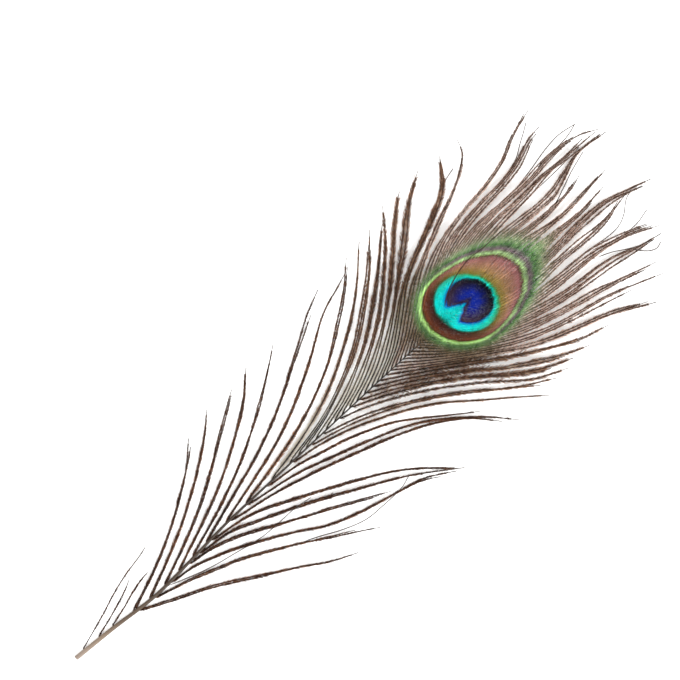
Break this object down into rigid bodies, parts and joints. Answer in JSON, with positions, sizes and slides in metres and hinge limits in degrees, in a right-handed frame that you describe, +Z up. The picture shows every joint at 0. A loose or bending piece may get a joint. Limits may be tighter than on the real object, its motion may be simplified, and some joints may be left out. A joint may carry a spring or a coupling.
{
  "type": "peacock feather",
  "caption": "Cut peacock train feather lying face up: tapering horn shaft, loose bronze barbs on both sides, herringbone vane and round eye of blue, turquoise, copper and green",
  "frame": {"origin": "middle of the feather's box, on the surface that it lies on", "axes": "+X along the shaft from the cut end to the tip, +Y towards the left vane, +Z up out of the feather's face"},
  "size_m": [0.2978, 0.102, 0.0045],
  "materials": {
    "shaft": "satin",
    "barbs_lower": "satin",
    "barbs_herringbone": "satin",
    "barbs_eye": "satin"
  },
  "bodies": {
    "root": {"shaft": "shaft", "right_lock_1": "barbs_lower", "right_lock_2": "barbs_lower", "right_lock_3": "barbs_lower", "right_lock_4": "barbs_lower", "right_lock_5": "barbs_lower", "right_lock_6": "barbs_lower", "right_lock_7": "barbs_lower", "right_lock_8": "barbs_lower", "right_lock_9": "barbs_lower", "right_lock_10": "barbs_herringbone", "right_lock_11": "barbs_herringbone", "right_lock_12": "barbs_herringbone", "right_lock_13": "barbs_herringbone", "right_lock_14": "barbs_herringbone", "right_lock_15": "barbs_herringbone", "right_lock_16": "barbs_eye", "right_lock_17": "barbs_eye", "right_lock_18": "barbs_eye", "right_lock_19": "barbs_eye", "right_lock_20": "barbs_eye", "right_lock_21": "barbs_eye", "right_lock_22": "barbs_eye", "right_lock_23": "barbs_eye", "left_lock_1": "barbs_lower", "left_lock_2": "barbs_lower", "left_lock_3": "barbs_lower", "left_lock_4": "barbs_lower", "left_lock_5": "barbs_lower", "left_lock_6": "barbs_lower", "left_lock_7": "barbs_lower", "left_lock_8": "barbs_lower", "left_lock_9": "barbs_lower", "left_lock_10": "barbs_lower", "left_lock_11": "barbs_lower", "left_lock_12": "barbs_herringbone", "left_lock_13": "barbs_herringbone", "left_lock_14": "barbs_herringbone", "left_lock_15": "barbs_herringbone", "left_lock_16": "barbs_herringbone", "left_lock_17": "barbs_herringbone", "left_lock_18": "barbs_herringbone", "left_lock_19": "barbs_eye", "left_lock_20": "barbs_eye", "left_lock_21": "barbs_eye", "left_lock_22": "barbs_eye", "left_lock_23": "barbs_eye", "left_lock_24": "barbs_eye", "left_lock_25": "barbs_eye", "left_lock_26": "barbs_eye"}
  },
  "joints": []
}
